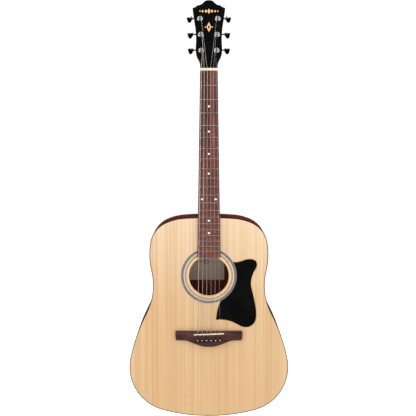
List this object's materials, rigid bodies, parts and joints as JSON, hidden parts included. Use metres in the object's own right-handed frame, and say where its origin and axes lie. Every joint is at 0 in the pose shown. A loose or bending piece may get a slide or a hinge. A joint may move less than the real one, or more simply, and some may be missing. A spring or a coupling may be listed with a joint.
{
  "type": "acoustic guitar",
  "caption": "Steel-string acoustic guitar with a dreadnought body, round sound hole, pickguard, pin bridge and geared tuners on a tilted headstock.",
  "frame": {"origin": "on the strap button's axis, at the button's outer end, below the tail of the body", "axes": "+Z along the neck towards the headstock, +X to the treble side, -Y out of the soundboard; the guitar stands upright"},
  "size_m": [0.4002, 0.1382, 1.0517],
  "materials": {
    "spruce": "satin, fine straight grain",
    "mahogany": "gloss, open pores",
    "neck_mahogany": "satin",
    "black_binding": "gloss",
    "inner_wood": "bare, planed",
    "rosette_inlay": "mottled shell under clear coat, with pale and dark lines",
    "pickguard_sheet": "gloss",
    "bridge_wood": "oiled",
    "bone": "polished bone substitute",
    "fretboard_wood": "oiled, streaked",
    "fret_metal": "polished",
    "pearl": "pearl",
    "black_gloss": "high gloss",
    "gold_pearl": "warm pearl",
    "steel": "plain",
    "black_plastic": "gloss",
    "label_card": "printed paper, standing in as a thin matt sheet",
    "chrome": "polished",
    "plain_steel": "drawn wire",
    "phosphor_bronze": "wound wire",
    "brass": "turned",
    "pin_plastic": "gloss, pale dot"
  },
  "bodies": {
    "root": {"soundboard": "spruce", "back": "mahogany", "side_bass": "mahogany", "side_treble": "mahogany", "top_binding": "black_binding", "back_binding": "black_binding", "top_lining": "inner_wood", "back_lining": "inner_wood", "neck_block": "inner_wood", "tail_block": "inner_wood", "top_braces": "inner_wood", "back_braces": "inner_wood", "bridge_plate": "inner_wood", "rosette": "rosette_inlay", "pickguard": "pickguard_sheet", "bridge": "bridge_wood", "saddle": "bone", "neck": "neck_mahogany", "heel_cap": "black_binding", "fretboard": "fretboard_wood", "frets": "fret_metal", "fret_markers": "pearl", "nut": "bone", "headstock_veneer": "black_gloss", "headstock_inlay": "gold_pearl", "truss_rod": "steel", "strap_button": "black_plastic", "strap_screw": "steel", "label": "label_card", "tuner_housings": "chrome", "tuner_bushings": "chrome", "tuner_screws": "chrome", "plain_strings": "plain_steel", "wound_strings": "phosphor_bronze", "string_ball_ends": "brass"},
    "truss_rod_nut": {"truss_rod_nut": "steel"},
    "bridge_pin_1": {"bridge_pin_1": "pin_plastic"},
    "bridge_pin_2": {"bridge_pin_2": "pin_plastic"},
    "bridge_pin_3": {"bridge_pin_3": "pin_plastic"},
    "bridge_pin_4": {"bridge_pin_4": "pin_plastic"},
    "bridge_pin_5": {"bridge_pin_5": "pin_plastic"},
    "bridge_pin_6": {"bridge_pin_6": "pin_plastic"},
    "tuner_knob_1": {"tuner_knob_1": "chrome"},
    "string_post_1": {"string_post_1": "chrome", "string_wraps_1": "phosphor_bronze"},
    "tuner_knob_2": {"tuner_knob_2": "chrome"},
    "string_post_2": {"string_post_2": "chrome", "string_wraps_2": "phosphor_bronze"},
    "tuner_knob_3": {"tuner_knob_3": "chrome"},
    "string_post_3": {"string_post_3": "chrome", "string_wraps_3": "phosphor_bronze"},
    "tuner_knob_4": {"tuner_knob_4": "chrome"},
    "string_post_4": {"string_post_4": "chrome", "string_wraps_4": "phosphor_bronze"},
    "tuner_knob_5": {"tuner_knob_5": "chrome"},
    "string_post_5": {"string_post_5": "chrome", "string_wraps_5": "plain_steel"},
    "tuner_knob_6": {"tuner_knob_6": "chrome"},
    "string_post_6": {"string_post_6": "chrome", "string_wraps_6": "plain_steel"}
  },
  "joints": [
    {"name": "truss_rod_nut_turn", "type": "hinge", "parent": "root", "child": "truss_rod_nut", "pos_m": [0, -0.0555, 0.45931], "axis": [0, 0, 1], "range_deg": [-180, 180]},
    {"name": "bridge_pin_1_pull", "type": "slide", "parent": "root", "child": "bridge_pin_1", "axis": [0, -1, 0], "range_m": [0, 0.028]},
    {"name": "bridge_pin_2_pull", "type": "slide", "parent": "root", "child": "bridge_pin_2", "axis": [0, -1, 0], "range_m": [0, 0.028]},
    {"name": "bridge_pin_3_pull", "type": "slide", "parent": "root", "child": "bridge_pin_3", "axis": [0, -1, 0], "range_m": [0, 0.028]},
    {"name": "bridge_pin_4_pull", "type": "slide", "parent": "root", "child": "bridge_pin_4", "axis": [0, -1, 0], "range_m": [0, 0.028]},
    {"name": "bridge_pin_5_pull", "type": "slide", "parent": "root", "child": "bridge_pin_5", "axis": [0, -1, 0], "range_m": [0, 0.028]},
    {"name": "bridge_pin_6_pull", "type": "slide", "parent": "root", "child": "bridge_pin_6", "axis": [0, -1, 0], "range_m": [0, 0.028]},
    {"name": "tuner_knob_1_turn", "type": "hinge", "parent": "root", "child": "tuner_knob_1", "pos_m": [-0.0308, -0.02979, 0.92872], "axis": [-1, 0, 0], "continuous": true},
    {"name": "tuner_knob_2_turn", "type": "hinge", "parent": "root", "child": "tuner_knob_2", "pos_m": [-0.0319, -0.01999, 0.96802], "axis": [-1, 0, 0], "continuous": true},
    {"name": "tuner_knob_3_turn", "type": "hinge", "parent": "root", "child": "tuner_knob_3", "pos_m": [-0.034, -0.01007, 1.0078], "axis": [-1, 0, 0], "continuous": true},
    {"name": "tuner_knob_4_turn", "type": "hinge", "parent": "root", "child": "tuner_knob_4", "pos_m": [0.034, -0.01007, 1.0078], "axis": [1, 0, 0], "continuous": true},
    {"name": "tuner_knob_5_turn", "type": "hinge", "parent": "root", "child": "tuner_knob_5", "pos_m": [0.0319, -0.01999, 0.96802], "axis": [1, 0, 0], "continuous": true},
    {"name": "tuner_knob_6_turn", "type": "hinge", "parent": "root", "child": "tuner_knob_6", "pos_m": [0.0308, -0.02979, 0.92872], "axis": [1, 0, 0], "continuous": true},
    {"name": "string_post_1_turn", "type": "hinge", "parent": "root", "child": "string_post_1", "pos_m": [-0.0188, -0.05016, 0.92555], "axis": [0, -0.9703, 0.2419], "continuous": true},
    {"name": "string_post_2_turn", "type": "hinge", "parent": "root", "child": "string_post_2", "pos_m": [-0.0199, -0.04036, 0.96485], "axis": [0, -0.9703, 0.2419], "continuous": true},
    {"name": "string_post_3_turn", "type": "hinge", "parent": "root", "child": "string_post_3", "pos_m": [-0.022, -0.03044, 1.00463], "axis": [0, -0.9703, 0.2419], "continuous": true},
    {"name": "string_post_4_turn", "type": "hinge", "parent": "root", "child": "string_post_4", "pos_m": [0.022, -0.03044, 1.00463], "axis": [0, -0.9703, 0.2419], "continuous": true},
    {"name": "string_post_5_turn", "type": "hinge", "parent": "root", "child": "string_post_5", "pos_m": [0.0199, -0.04036, 0.96485], "axis": [0, -0.9703, 0.2419], "continuous": true},
    {"name": "string_post_6_turn", "type": "hinge", "parent": "root", "child": "string_post_6", "pos_m": [0.0188, -0.05016, 0.92555], "axis": [0, -0.9703, 0.2419], "continuous": true}
  ],
  "couplings": [
    {"joint": "string_post_1_turn", "follows": "tuner_knob_1_turn", "ratio": 0.071429},
    {"joint": "string_post_2_turn", "follows": "tuner_knob_2_turn", "ratio": 0.071429},
    {"joint": "string_post_3_turn", "follows": "tuner_knob_3_turn", "ratio": 0.071429},
    {"joint": "string_post_4_turn", "follows": "tuner_knob_4_turn", "ratio": 0.071429},
    {"joint": "string_post_5_turn", "follows": "tuner_knob_5_turn", "ratio": 0.071429},
    {"joint": "string_post_6_turn", "follows": "tuner_knob_6_turn", "ratio": 0.071429}
  ]
}
